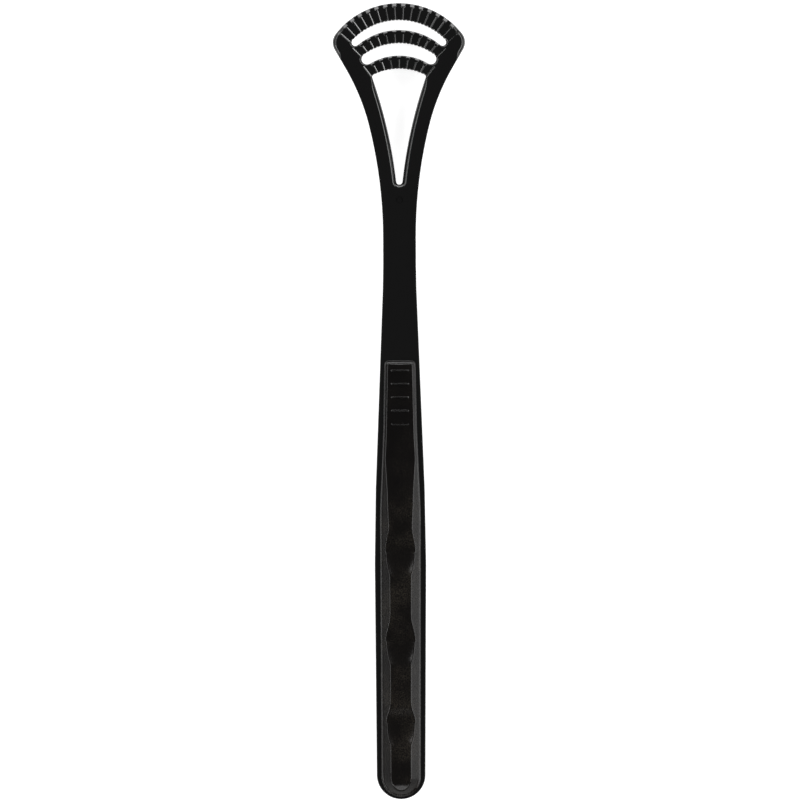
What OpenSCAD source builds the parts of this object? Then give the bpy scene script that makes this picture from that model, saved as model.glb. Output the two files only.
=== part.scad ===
// Tongue scraper: one hard moulding with three ribbed bars in an open head, a slim neck
// and a handle, and two soft grips moulded into the handle's pockets.
// Millimetres. The tool lies on its rear grip: Y runs from the butt to the head, Z is up,
// and the origin is under the middle of the tool. Sizes along Y are measured from the butt.

/* [Whole tool] */
// Length from the butt to the tip of the head
tool_l = 190; // [184:1:225]
// Thickness of the hard moulding in the handle
frame_t = 6; // [5.2:0.1:8]
// Thickness of the hard moulding in the head
head_t = 3; // [2.2:0.1:4]

/* [Head outline] */
// Width of the head across its two rounded ears
head_w = 31.6; // [29:0.1:36]
// Radius of the front edge of the head
tip_r = 19.3; // [18.5:0.1:24]
// Radius of each ear
ear_r = 3.4; // [2.5:0.1:4]
// Lean of the head's straight sides, in degrees
side_lean = 30; // [26:1:34]
// Radius of the curve under each straight side
shoulder_r = 53; // [35:1:65]
// Lean at which the shoulder curve gives way to the neck's curve, in degrees
shoulder_lean = 18; // [14:1:22]
// Radius of the curve that runs into the neck
neck_curve_r = 89; // [60:1:110]
// Width of each of the two arms that carry the bars
arm_w = 4.25; // [3:0.05:5]

/* [Bars and windows] */
// Width of the front bar
bar_1_w = 3.95; // [3:0.05:5]
// Width of the middle bar
bar_2_w = 3; // [2:0.05:4]
// Width of the back bar
bar_3_w = 3; // [2:0.05:4]
// Opening between the front and the middle bar, at the centre line
slot_1_h = 2.5; // [2:0.05:3]
// Opening between the middle and the back bar, at the centre line
slot_2_h = 3.1; // [2.6:0.05:3.8]
// Radius of the rounded ends of the first slot
slot_1_end_r = 0.87; // [0.6:0.01:1]
// Radius of the rounded ends of the second slot
slot_2_end_r = 1.3; // [1:0.05:1.4]
// How much tighter the middle bar's back edge curves than its front edge
bar_2_tighten = 1.05; // [0:0.05:2]
// Length of the long window, from the back bar to its narrow end
window_l = 27.7; // [22:0.1:32]
// Radius of the window's narrow end
window_end_r = 0.8; // [0.5:0.05:1.2]
// Radius of the window's two long sides
window_side_r = 113; // [80:1:160]

/* [Ripples on the bars] */
// Number of grooves across the front bar
bar_1_grooves = 16; // [8:1:17]
// Number of grooves across the middle bar
bar_2_grooves = 12; // [6:1:13]
// Number of grooves across the back bar
bar_3_grooves = 9; // [5:1:10]
// Distance from one groove to the next, round the middle of a bar
groove_pitch = 1.98; // [1.7:0.01:2.4]
// Radius of a groove's round floor
groove_r = 0.36; // [0.25:0.01:0.45]
// Depth of a groove
groove_d = 0.32; // [0.2:0.01:0.4]
// Radius of a groove's flared mouth at the bar's front edge
mouth_r = 0.68; // [0.5:0.01:0.8]
// Length of the flared mouth
mouth_l = 1; // [0.5:0.1:1.4]

/* [Neck and handle] */
// Width of the neck
neck_w = 7.85; // [6:0.05:9]
// Where the handle starts to widen
taper_start = 124.5; // [118:0.5:128]
// Where the handle stops widening
taper_end = 65; // [60:0.5:90]
// Width of the handle at its widest
handle_w = 12.4; // [11.6:0.1:14]
// Width of the handle where its round butt starts
butt_w = 11.6; // [11:0.1:12.4]
// Where the underside starts to rise towards the head
rise_start = 101; // [99:0.5:115]
// Length of the head, back from the tip, that keeps one thickness
even_head_l = 24; // [20:0.5:32]
// Diameter of the round moulding mark on the neck
mark_d = 1.7; // [1:0.1:2.5]
// Distance of the moulding mark from the tip
mark_from_tip = 47; // [46:0.5:55]

/* [Front grip] */
// Rim of hard material left between the front grip and the butt
butt_rim = 0.55; // [0.4:0.05:0.9]
// Upper end of the front grip
pad_top = 104.7; // [102:0.1:112]
// Width of the front grip at its upper end
pad_top_w = 7.6; // [6.4:0.1:7.8]
// Width of the front grip at the foot of the fingertip zone
pad_waist_w = 8.25; // [7.6:0.05:8.8]
// Where the fingertip zone ends
pad_waist = 87.5; // [84:0.5:92]
// Width of the front grip along the finger hollows
pad_w = 9.9; // [9:0.1:10.2]
// Where the front grip reaches that width
pad_full = 68.5; // [66:0.5:78]
// Width of the front grip where its round end starts
pad_end_w = 9.5; // [8.6:0.1:9.8]
// Radius of the upper corners
pad_corner_r = 1.1; // [0.6:0.1:2]
// Depth of the pocket that holds the front grip
pocket_d = 1.2; // [0.8:0.1:1.6]
// Height of the grip's upright lip over the hard rim
lip_h = 0.3; // [0.1:0.05:0.5]
// Lean of the grip's sides over the lip, in degrees
flank_lean = 40; // [34:1:48]
// Height of the fingertip zone over the hard rim
tip_zone_h = 1.1; // [0.8:0.05:1.4]
// Height of the grip over the hard rim between the hollows
crown_h = 2.4; // [2:0.05:2.8]
// Where the grip starts to climb from the fingertip zone
ramp_foot = 79.5; // [76:0.5:84]
// Where the grip has climbed to its full height
crown_start = 69; // [66:0.5:73]

/* [Finger hollows] */
// Number of finger hollows
hollow_n = 3; // [1:1:3]
// Lower edge of the first hollow
hollow_first = 11.6; // [9:0.1:13]
// Distance from one hollow to the next
hollow_pitch = 20.7; // [19:0.1:21]
// Length of a hollow
hollow_l = 12.6; // [9:0.1:14]
// Depth of a hollow
hollow_d = 1.3; // [0.8:0.05:1.5]

/* [Fingertip ribs] */
// Number of raised ribs
rib_n = 5; // [3:1:6]
// Distance from one rib to the next
rib_pitch = 3.2; // [2.4:0.1:3.4]
// Distance of the first rib from the grip's upper end
rib_first = 2.4; // [2:0.1:4]
// Length of a rib across the grip
rib_l = 4.5; // [3:0.1:4.8]
// Radius of a rib
rib_r = 0.25; // [0.15:0.05:0.4]

/* [Pegs that hold the front grip] */
// Number of pegs
peg_n = 4; // [2:1:6]
// Radius of a peg
peg_r = 1.5; // [1:0.1:2]
// Radius of a peg's head
peg_head_r = 2.2; // [2:0.1:2.6]
// Height of a peg's head
peg_head_h = 0.8; // [0.5:0.1:1.2]

/* [Rear grip] */
// Lower end of the rear grip
rear_start = 8.5; // [7:0.5:10]
// How much lower the rear grip ends than the front grip
rear_short = 6.7; // [0:0.1:12]
// Width of the rear grip at its lower end
rear_low_w = 8.2; // [7:0.1:9]
// Width of the rear grip at its upper end
rear_high_w = 6.4; // [5.6:0.1:7]
// Depth of the pocket that holds the rear grip
rear_pocket_d = 1.2; // [0.8:0.1:1.6]
// Height that the rear grip stands out of the handle
rear_h = 0.8; // [0.6:0.1:1.4]
// Number of grooves across the rear grip
rear_groove_n = 9; // [3:1:12]
// Distance from one rear groove to the next
rear_groove_pitch = 3.2; // [2.4:0.1:4]
// Radius of a rear groove
rear_groove_r = 0.45; // [0.3:0.05:0.55]

/* [Hidden] */
arc_step = 4;
round_fn = 48;
overrun = 0.5;
taper_start_r = 150;
taper_end_r = 400;
rise_r = 200;
butt_round_r = 2;
pad_waist_r = 60;
pad_full_r = 60;
ramp_foot_r = 8;
ramp_top_r = 12;
mark_depth = 0.15;
seam_t = 0.02;

// Heights
rear_z = rear_h;
top_z = rear_z + frame_t;
head_z = top_z - head_t;
pocket_z = top_z - pocket_d;
rear_pocket_z = rear_z + rear_pocket_d;
lip_z = top_z + lip_h;
crown_z = top_z + crown_h;
tip_zone_z = top_z + tip_zone_h;

// Places along the tool
tip_c = tool_l - tip_r;
butt_r = butt_w / 2;
pad_end_r = pad_end_w / 2;
pad_end_c = butt_rim + pad_end_r;

// Small helpers for outlines
function polar(r, a) = [r * cos(a), r * sin(a)];
function bearing(v) = atan2(v[1], v[0]);
function unit(v) = v / norm(v);
function arc(c, r, a0, a1) =
    let (n = max(1, ceil(abs(a1 - a0) / arc_step)))
    [for (i = [0:n]) c + polar(r, a0 + (a1 - a0) * i / n)];
function short_turn(a) = a - 360 * round(a / 360);
// The corner b between a and c, rounded with radius r
function corner(a, b, c, r) =
    let (
        u = unit(a - b),
        v = unit(c - b),
        half = acos(u * v) / 2,
        o = b + unit(u + v) * r / sin(half),
        from = b + u * r / tan(half) - o,
        to = b + v * r / tan(half) - o
    )
    arc(o, r, bearing(from), bearing(from) + short_turn(bearing(to) - bearing(from)));
function place(s) = [s[0], s[1]];
// An open path through stations of [across, along, radius of the corner]
function rounded_path(s) = [
    for (i = [0:len(s) - 1])
        each (i == 0 || i == len(s) - 1)
            ? [place(s[i])]
            : corner(place(s[i - 1]), place(s[i]), place(s[i + 1]), s[i][2])
];
function mirrored(path) = [for (i = [len(path) - 1:-1:0]) [-path[i][0], path[i][1]]];
// Where two circles cross, to the left of the way from the first to the second
function crossing(p, pr, q, qr) =
    let (d = norm(q - p), t = (d * d + pr * pr - qr * qr) / (2 * d), u = (q - p) / d)
    p + t * u + sqrt(pr * pr - t * t) * [-u[1], u[0]];

// Right side of the head: front edge, ear, straight side, shoulder curve, neck curve
ear_c = [head_w / 2 - ear_r, tip_c + sqrt(pow(tip_r - ear_r, 2) - pow(head_w / 2 - ear_r, 2))];
side_out = polar(1, -side_lean);
side_up = [sin(side_lean), cos(side_lean)];
side_from = ear_c + ear_r * side_out;
shoulder_drop = shoulder_r * (cos(shoulder_lean) - cos(side_lean));
neck_drop = neck_curve_r * (1 - cos(shoulder_lean));
side_run = (side_from[0] - neck_w / 2 - shoulder_drop - neck_drop) / sin(side_lean);
side_to = side_from - side_run * side_up;
shoulder_c = side_to + shoulder_r * side_out;
shoulder_to = shoulder_c - shoulder_r * polar(1, -shoulder_lean);
neck_curve_c = shoulder_to + neck_curve_r * polar(1, -shoulder_lean);
head_side = concat(
    arc([0, tip_c], tip_r, 90, bearing(ear_c - [0, tip_c])),
    arc(ear_c, ear_r, bearing(ear_c - [0, tip_c]), -side_lean),
    arc(shoulder_c, shoulder_r, 180 - side_lean, 180 - shoulder_lean),
    arc(neck_curve_c, neck_curve_r, 180 - shoulder_lean, 180)
);
handle_side = rounded_path([
    [neck_w / 2, neck_curve_c[1]],
    [neck_w / 2, taper_start, taper_start_r],
    [handle_w / 2, taper_end, taper_end_r],
    [butt_r, butt_r]
]);
frame_side = concat(head_side, handle_side, arc([0, butt_r], butt_r, 0, -90));

// The inner edge of an arm is a line at arm_w from the straight side of the head.
// This is the point on it, moved in by more, that lies r from the centre line's point at c.
function on_arm(c, r, more) =
    let (
        o = [0, c],
        away = side_out * (side_from - o) - arm_w - more
    )
    o + away * side_out + sqrt(r * r - away * away) * side_up;

// A slot between two bars: its front edge is an arc of radius r about c, its rounded ends
// touch the arms, and its back edge is the arc that meets both ends and leaves height h.
function slot_end(c, r, end_r) = on_arm(c, r - end_r, end_r);
function slot_back_c(c, r, h, end_r) =
    let (e = slot_end(c, r, end_r), reach = c + r - h + end_r)
    (reach * reach - e * e) / (2 * (reach - e[1]));
function slot_side(c, r, h, end_r) =
    let (
        e = slot_end(c, r, end_r),
        back = [0, slot_back_c(c, r, h, end_r)],
        top = bearing(e - [0, c]),
        low = bearing(back - e)
    )
    concat(
        arc([0, c], r, 90, top),
        arc(e, end_r, top, low),
        arc(back, c + r - h - back[1], bearing(e - back), 90)
    );

// Centres of the arcs along the centre line, from the tip downwards
slot_1_r = tip_r - bar_1_w;
bar_2_front = tool_l - bar_1_w - slot_1_h;
bar_2_front_c = slot_back_c(tip_c, slot_1_r, slot_1_h, slot_1_end_r);
bar_2_front_r = bar_2_front - bar_2_front_c;
slot_2_r = bar_2_front_r - bar_2_tighten;
slot_2_c = bar_2_front - bar_2_w - slot_2_r;
bar_3_front = bar_2_front - bar_2_w - slot_2_h;
bar_3_front_c = slot_back_c(slot_2_c, slot_2_r, slot_2_h, slot_2_end_r);
bar_3_front_r = bar_3_front - bar_3_front_c;
window_top = bar_3_front - bar_3_w;
window_r = bar_3_front_r;
window_c = window_top - window_r;

// The long window: an arc at the back bar, two long curved sides and a small round end
window_corner = on_arm(window_c, window_r, 0);
window_end = [0, window_top - window_l + window_end_r];
window_side_c = crossing(window_corner, window_side_r, window_end, window_side_r + window_end_r);
window_side_from = bearing(window_corner - window_side_c);
window_side_to = bearing(window_end - window_side_c);
window_side = concat(
    arc([0, window_c], window_r, 90, bearing(window_corner - [0, window_c])),
    arc(window_side_c, window_side_r, window_side_from, window_side_from
        + short_turn(window_side_to - window_side_from)),
    arc(window_end, window_end_r, short_turn(window_side_to + 180), -90)
);

// Right side of the front grip, and the tapered rear grip
pad_side = concat(
    rounded_path([
        [0, pad_top],
        [pad_top_w / 2, pad_top, pad_corner_r],
        [pad_waist_w / 2, pad_waist, pad_waist_r],
        [pad_w / 2, pad_full, pad_full_r],
        [pad_end_r, pad_end_c]
    ]),
    arc([0, pad_end_c], pad_end_r, 0, -90)
);
rear_end = pad_top - rear_short;
rear_low_r = rear_low_w / 2;
rear_high_r = rear_high_w / 2;
rear_low_c = rear_start + rear_low_r;
rear_high_c = rear_end - rear_high_r;
rear_side = concat(
    arc([0, rear_high_c], rear_high_r, 90, 0),
    arc([0, rear_low_c], rear_low_r, 0, -90)
);

// A flat outline, symmetric about the centre line, raised from z0 to z1
module raised(side, z0, z1) {
    translate([0, 0, z0])
        linear_extrude(height = z1 - z0)
            polygon(concat(side, mirrored(side)));
}

// A side view drawn as [along, height], as wide as w on each side
module side_view(path, w) {
    rotate([90, 0, 90])
        translate([0, 0, -w])
            linear_extrude(height = 2 * w)
                polygon(path);
}

// A round bar across the tool
module across(y, z, r, l) {
    translate([-l / 2, y, z])
        rotate([0, 90, 0])
            cylinder(r = r, h = l, $fn = round_fn);
}

module windows() {
    raised(slot_side(tip_c, slot_1_r, slot_1_h, slot_1_end_r), -overrun, top_z + overrun);
    raised(slot_side(slot_2_c, slot_2_r, slot_2_h, slot_2_end_r), -overrun, top_z + overrun);
    raised(window_side, -overrun, top_z + overrun);
}

// Grooves across one bar, radial to its arc, each with a flared mouth at the front edge
module ripples(c, front_r, bar_w, n) {
    step = groove_pitch / (front_r - bar_w / 2) * 180 / PI;
    flare = (mouth_r - groove_r) / mouth_l;
    for (i = [0:n - 1])
        translate([0, c, top_z + groove_r - groove_d])
            rotate([-90, 0, (i - (n - 1) / 2) * step])
                rotate(-90)
                    rotate_extrude($fn = round_fn)
                        polygon([
                            [0, front_r - bar_w - overrun],
                            [groove_r, front_r - bar_w - overrun],
                            [groove_r, front_r - mouth_l],
                            [mouth_r + flare * overrun, front_r + overrun],
                            [0, front_r + overrun]
                        ]);
}

// Pegs spread evenly between the round ends of the rear grip, each with a wider head
module pegs() {
    for (i = [0:peg_n - 1])
        translate([0, rear_low_c + i * (rear_high_c - rear_low_c) / (peg_n - 1), rear_pocket_z]) {
            cylinder(r = peg_head_r, h = peg_head_h, $fn = round_fn);
            cylinder(r = peg_r, h = pocket_z - rear_pocket_z, $fn = round_fn);
        }
}

// The sloping part of the front grip over its lip, between two places along the tool
module grip_slope(y0, y1) {
    hull() {
        grip_layer(lip_z - seam_t, 0, y0, y1);
        grip_layer(crown_z - seam_t, (crown_h - lip_h) / tan(flank_lean), y0, y1);
    }
}
module grip_layer(z, inset, y0, y1) {
    translate([0, 0, z])
        linear_extrude(height = seam_t)
            intersection() {
                offset(delta = -inset)
                    polygon(concat(pad_side, mirrored(pad_side)));
                translate([-pad_w, y0])
                    square([2 * pad_w, y1 - y0]);
            }
}

// Round hollows for the fingers, scooped out of the crown
module finger_hollows() {
    hollow_r = (hollow_l * hollow_l / 4 + hollow_d * hollow_d) / (2 * hollow_d);
    for (i = [0:hollow_n - 1])
        across(hollow_first + i * hollow_pitch + hollow_l / 2,
            crown_z - hollow_d + hollow_r, hollow_r, 2 * pad_w);
}

module fingertip_ribs() {
    for (i = [0:rib_n - 1])
        across(pad_top - rib_first - i * rib_pitch, tip_zone_z, rib_r, rib_l);
}

// Moves a part from the butt to the origin under the middle of the tool
module centred() {
    translate([0, -tool_l / 2, 0])
        children();
}

// Hard glossy moulding: head, arms, bars, neck and handle in one piece
module frame() {
    color("#161616")
        centred()
            difference() {
                intersection() {
                    raised(frame_side, 0, top_z);
                    side_view(concat(rounded_path([
                        [tool_l + overrun, head_z],
                        [tool_l - even_head_l, head_z, rise_r],
                        [rise_start, rear_z, rise_r],
                        [0, rear_z, butt_round_r],
                        [0, top_z + overrun]
                    ]), [[tool_l + overrun, top_z + overrun]]), head_w);
                }
                windows();
                ripples(tip_c, tip_r, bar_1_w, bar_1_grooves);
                ripples(bar_2_front_c, bar_2_front_r, bar_2_w, bar_2_grooves);
                ripples(bar_3_front_c, bar_3_front_r, bar_3_w, bar_3_grooves);
                raised(pad_side, pocket_z, top_z + overrun);
                raised(rear_side, 0, rear_pocket_z);
                pegs();
                translate([0, tool_l - mark_from_tip, top_z - mark_depth])
                    cylinder(d = mark_d, h = mark_depth + overrun, $fn = round_fn);
            }
}

// Soft grip on the front: pad, fingertip ribs, finger hollows and the pegs that hold it
module front_grip() {
    color("#2e2d2b")
        centred() {
            raised(pad_side, pocket_z, lip_z);
            difference() {
                intersection() {
                    union() {
                        grip_slope(0, pad_waist);
                        grip_slope(pad_waist, pad_top);
                    }
                    side_view(concat(rounded_path([
                        [pad_top + overrun, tip_zone_z],
                        [ramp_foot, tip_zone_z, ramp_foot_r],
                        [crown_start, crown_z, ramp_top_r],
                        [0, crown_z]
                    ]), [[0, pocket_z], [pad_top + overrun, pocket_z]]), pad_w);
                }
                finger_hollows();
            }
            fingertip_ribs();
            pegs();
        }
}

// Soft grip on the back, with grooves across it; its flat face is what the tool lies on
module rear_grip() {
    color("#2e2d2b")
        centred()
            difference() {
                raised(rear_side, 0, rear_pocket_z);
                for (i = [0:rear_groove_n - 1])
                    across((rear_start + rear_end) / 2 + (i - (rear_groove_n - 1) / 2) * rear_groove_pitch,
                        0, rear_groove_r, rear_low_w + 2 * overrun);
            }
}

frame();
front_grip();
rear_grip();
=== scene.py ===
"""Tongue scraper: the looks of its three pieces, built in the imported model's frame.

One glossy black moulding carries three rippled bars in an open head, and two soft grips are
moulded into its handle. Shapes are drawn in millimetres, with Y counted from the butt and Z up
from the surface that the tool lies on, and are brought into the frame when each piece is done.
"""

import math
from collections import namedtuple

import bpy
from bpy.props import FloatProperty, FloatVectorProperty, IntProperty, PointerProperty
from mathutils import Matrix, Vector


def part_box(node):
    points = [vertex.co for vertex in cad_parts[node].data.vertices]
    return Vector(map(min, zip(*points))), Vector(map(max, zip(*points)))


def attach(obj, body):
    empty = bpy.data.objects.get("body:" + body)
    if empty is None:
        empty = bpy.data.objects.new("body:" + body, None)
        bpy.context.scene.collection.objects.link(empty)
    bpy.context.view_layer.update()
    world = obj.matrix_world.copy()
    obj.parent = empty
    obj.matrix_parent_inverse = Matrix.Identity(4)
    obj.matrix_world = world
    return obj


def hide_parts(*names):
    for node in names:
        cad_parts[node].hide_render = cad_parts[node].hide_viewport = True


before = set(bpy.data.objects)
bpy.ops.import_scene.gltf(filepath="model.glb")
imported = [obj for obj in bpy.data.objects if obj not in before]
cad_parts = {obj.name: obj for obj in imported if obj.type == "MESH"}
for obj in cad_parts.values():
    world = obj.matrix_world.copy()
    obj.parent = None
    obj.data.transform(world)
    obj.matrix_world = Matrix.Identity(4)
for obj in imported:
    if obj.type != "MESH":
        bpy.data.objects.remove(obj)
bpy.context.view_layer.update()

bl_info = {
    "name": "Tongue scraper",
    "version": (1, 0, 0),
    "blender": (4, 5, 0),
    "location": "3D view > Sidebar > Scraper",
    "description": "Models a hand tongue scraper with a rippled open head and soft grips",
    "category": "Object",
}

MM = 0.001
FRAME_LOW, FRAME_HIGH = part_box("frame")
GRIP_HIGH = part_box("front_grip")[1]
REAR_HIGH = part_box("rear_grip")[1]


# Sizes and colours that a user would change


def linear(code):
    """A colour written as sRGB hex, as the linear values that shaders take."""
    values = [int(code[i : i + 2], 16) / 255 for i in (1, 3, 5)]
    return [v / 12.92 if v <= 0.04045 else ((v + 0.055) / 1.055) ** 2.4 for v in values]


def length(label, about, default):
    """A length in metres that a user may change."""
    return FloatProperty(
        name=label, description=about, default=default, unit="LENGTH", subtype="DISTANCE"
    )


def shade(label, about, code):
    """A colour that a user may change."""
    return FloatVectorProperty(
        name=label, description=about, default=linear(code), subtype="COLOR", size=3, min=0, max=1
    )


class ScraperSizes(bpy.types.PropertyGroup):
    """Sizes of the tool. What isn't here is worked out from these or belongs to one piece."""

    tool_length: length("Length", "From the butt to the tip", FRAME_HIGH.y - FRAME_LOW.y)
    head_width: length("Head width", "Across the two rounded ears", FRAME_HIGH.x - FRAME_LOW.x)
    top: length("Top face", "Height of the moulding's flat top", FRAME_HIGH.z)
    underside: length("Underside", "Height of the handle's underside", FRAME_LOW.z)
    crown: length("Crown", "Height of the front grip's crowns", GRIP_HIGH.z)
    head_thickness: length("Head thickness", "Thickness of the moulding in the head", 3.0 * MM)
    tip_radius: length("Tip radius", "Radius of the head's front edge", 19.3 * MM)
    ear_radius: length("Ear radius", "Radius of each ear", 3.4 * MM)
    arm_width: length("Arm width", "Width of each arm beside the bars", 4.25 * MM)
    neck_width: length("Neck width", "Width of the neck", 7.85 * MM)
    handle_width: length("Handle width", "Width of the handle at its widest", 12.4 * MM)
    butt_width: length("Butt width", "Width of the handle where its round end starts", 11.6 * MM)
    groove_pitch: length("Groove pitch", "Distance between the grooves of a bar", 1.98 * MM)
    groove_half: length("Groove half width", "From a groove's bottom line to its edge", 0.2 * MM)
    groove_depth: length("Groove depth", "Depth of a groove", 0.112 * MM)
    grooves: IntProperty(name="Grooves", description="Grooves across the front bar", default=16, min=8)
    lip: length("Lip", "Height of the grip's upright edge over the rim", 0.3 * MM)
    hollow_depth: length("Hollow depth", "Depth of a finger hollow under the crown", 1.35 * MM)
    rib_radius: length("Rib radius", "Radius of a fingertip rib", 0.2 * MM)


class ScraperColours(bpy.types.PropertyGroup):
    """Colours of the two materials and of the floor."""

    moulding: shade("Moulding", "Black of the hard glossy plastic", "#101010")
    grip: shade("Grip", "Black of the soft elastomer", "#0b0a0a")
    # Painted sheen: pale warm specks that stand in for light on the soft grip's grain
    dust: shade("Dust", "Pale specks that the soft grip holds", "#6b6457")
    floor: shade("Floor", "Pale floor that the tool lies on", "#c8c8c8")


# Selecting, editing and cutting


def rest():
    """Leaves edit mode with nothing selected."""
    if bpy.context.mode != "OBJECT":
        bpy.ops.object.mode_set(mode="OBJECT")
    bpy.ops.object.select_all(action="DESELECT")


def pick(obj):
    """Selects one object alone and makes it active."""
    rest()
    obj.select_set(True)
    bpy.context.view_layer.objects.active = obj


def edit(obj):
    """Opens one object in edit mode with all of it selected."""
    pick(obj)
    bpy.ops.object.mode_set(mode="EDIT")
    bpy.ops.mesh.select_all(action="SELECT")


def face_out(obj):
    """Points all faces outwards."""
    edit(obj)
    bpy.ops.mesh.normals_make_consistent(inside=False)
    rest()
    return obj


def drop(obj):
    """Removes an object and its mesh."""
    mesh = obj.data
    bpy.data.objects.remove(obj, do_unlink=True)
    bpy.data.meshes.remove(mesh)


def joined(objects):
    """Several objects as one."""
    pick(objects[0])
    for obj in objects:
        obj.select_set(True)
    bpy.ops.object.join()
    return objects[0]


def modified(obj, kind, **settings):
    """Adds a modifier with its settings and applies it."""
    pick(obj)
    modifier = obj.modifiers.new(kind.lower(), kind)
    for key, value in settings.items():
        setattr(modifier, key, value)
    bpy.ops.object.modifier_apply(modifier=modifier.name)
    return obj


def cut(obj, cutter, operation="DIFFERENCE"):
    """Cuts one solid with another and removes the cutter."""
    modified(obj, "BOOLEAN", object=cutter, operation=operation, solver="MANIFOLD")
    drop(cutter)
    return obj


def copied(obj, matrix):
    """A copy of an object with its own mesh, moved by a matrix."""
    copy = obj.copy()
    copy.data = obj.data.copy()
    copy.data.transform(matrix)
    bpy.context.scene.collection.objects.link(copy)
    return copy


# Outlines, as in a technical drawing. A point is a Vector of (across, along).


def polar(radius, degrees):
    """The point at a radius and an angle from +X."""
    angle = math.radians(degrees)
    return Vector((radius * math.cos(angle), radius * math.sin(angle)))


def bearing(v):
    """The angle of a vector from +X."""
    return math.degrees(math.atan2(v.y, v.x))


def short_turn(degrees):
    """The same turn the short way round."""
    return degrees - 360 * round(degrees / 360)


def ease(value, start, end):
    """Rises smoothly from 0 to 1 as a value goes from start to end."""
    share = min(1, max(0, (value - start) / (end - start)))
    return share * share * (3 - 2 * share)


def arc(centre, radius, start, end, step=3):
    """Points on an arc, at most a step of degrees apart."""
    count = max(1, math.ceil(abs(end - start) / step))
    turns = [start + (end - start) * i / count for i in range(count + 1)]
    return [Vector(centre) + polar(radius, turn) for turn in turns]


def corner(before, at, after, radius):
    """The corner at a point between two others, rounded."""
    u, v = (before - at).normalized(), (after - at).normalized()
    half = u.angle(v) / 2
    centre = at + (u + v).normalized() * radius / math.sin(half)
    start = bearing(at + u * radius / math.tan(half) - centre)
    end = bearing(at + v * radius / math.tan(half) - centre)
    return arc(centre, radius, start, start + short_turn(end - start))


def rounded_path(stations):
    """An open path through stations of (across, along, radius of the corner)."""
    points = [Vector(s[:2]) for s in stations]
    path = [points[0]]
    for i in range(1, len(points) - 1):
        path += corner(points[i - 1], points[i], points[i + 1], stations[i][2])
    return path + [points[-1]]


def closed(side):
    """A right-hand side and its mirror image as one closed outline, with no point twice."""
    loop = side + [Vector((-p.x, p.y)) for p in reversed(side)]
    return [p for i, p in enumerate(loop) if (p - loop[i - 1]).length > 1e-4]


def crossing(p, p_radius, q, q_radius):
    """Where two circles cross, to the left of the way from the first to the second."""
    way = q - p
    along = (way.length_squared + p_radius**2 - q_radius**2) / (2 * way.length)
    u = way.normalized()
    return p + along * u + math.sqrt(p_radius**2 - along**2) * Vector((-u.y, u.x))


def drawn(name, points, place):
    """A face drawn through points, each put in space by the function place."""
    curve = bpy.data.curves.new(name, "CURVE")
    curve.dimensions = "3D"
    line = curve.splines.new("POLY")
    line.points.add(len(points) - 1)
    for knot, point in zip(line.points, points):
        knot.co = (*place(point), 1)
    line.use_cyclic_u = True
    obj = bpy.data.objects.new(name, curve)
    bpy.context.scene.collection.objects.link(obj)
    pick(obj)
    bpy.ops.object.convert(target="MESH")
    edit(obj)
    bpy.ops.mesh.edge_face_add()
    rest()
    return obj


def raised(obj, way):
    """Gives a drawn face a thickness."""
    edit(obj)
    bpy.ops.mesh.extrude_region_move(TRANSFORM_OT_translate={"value": way})
    return face_out(obj)


def prism(name, outline, low, high):
    """An outline seen from above, raised from one height to another."""
    return raised(drawn(name, outline, lambda p: (p.x, p.y, low)), (0, 0, high - low))


def side_prism(name, outline, half_width):
    """A side view of points (along, height), given a width across the tool."""
    return raised(drawn(name, outline, lambda p: (-half_width, p.x, p.y)), (2 * half_width, 0, 0))


# A bar between two arcs whose centres lie on the centre line
Bar = namedtuple("Bar", "front_centre front_radius back_centre back_radius width grooves")


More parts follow.
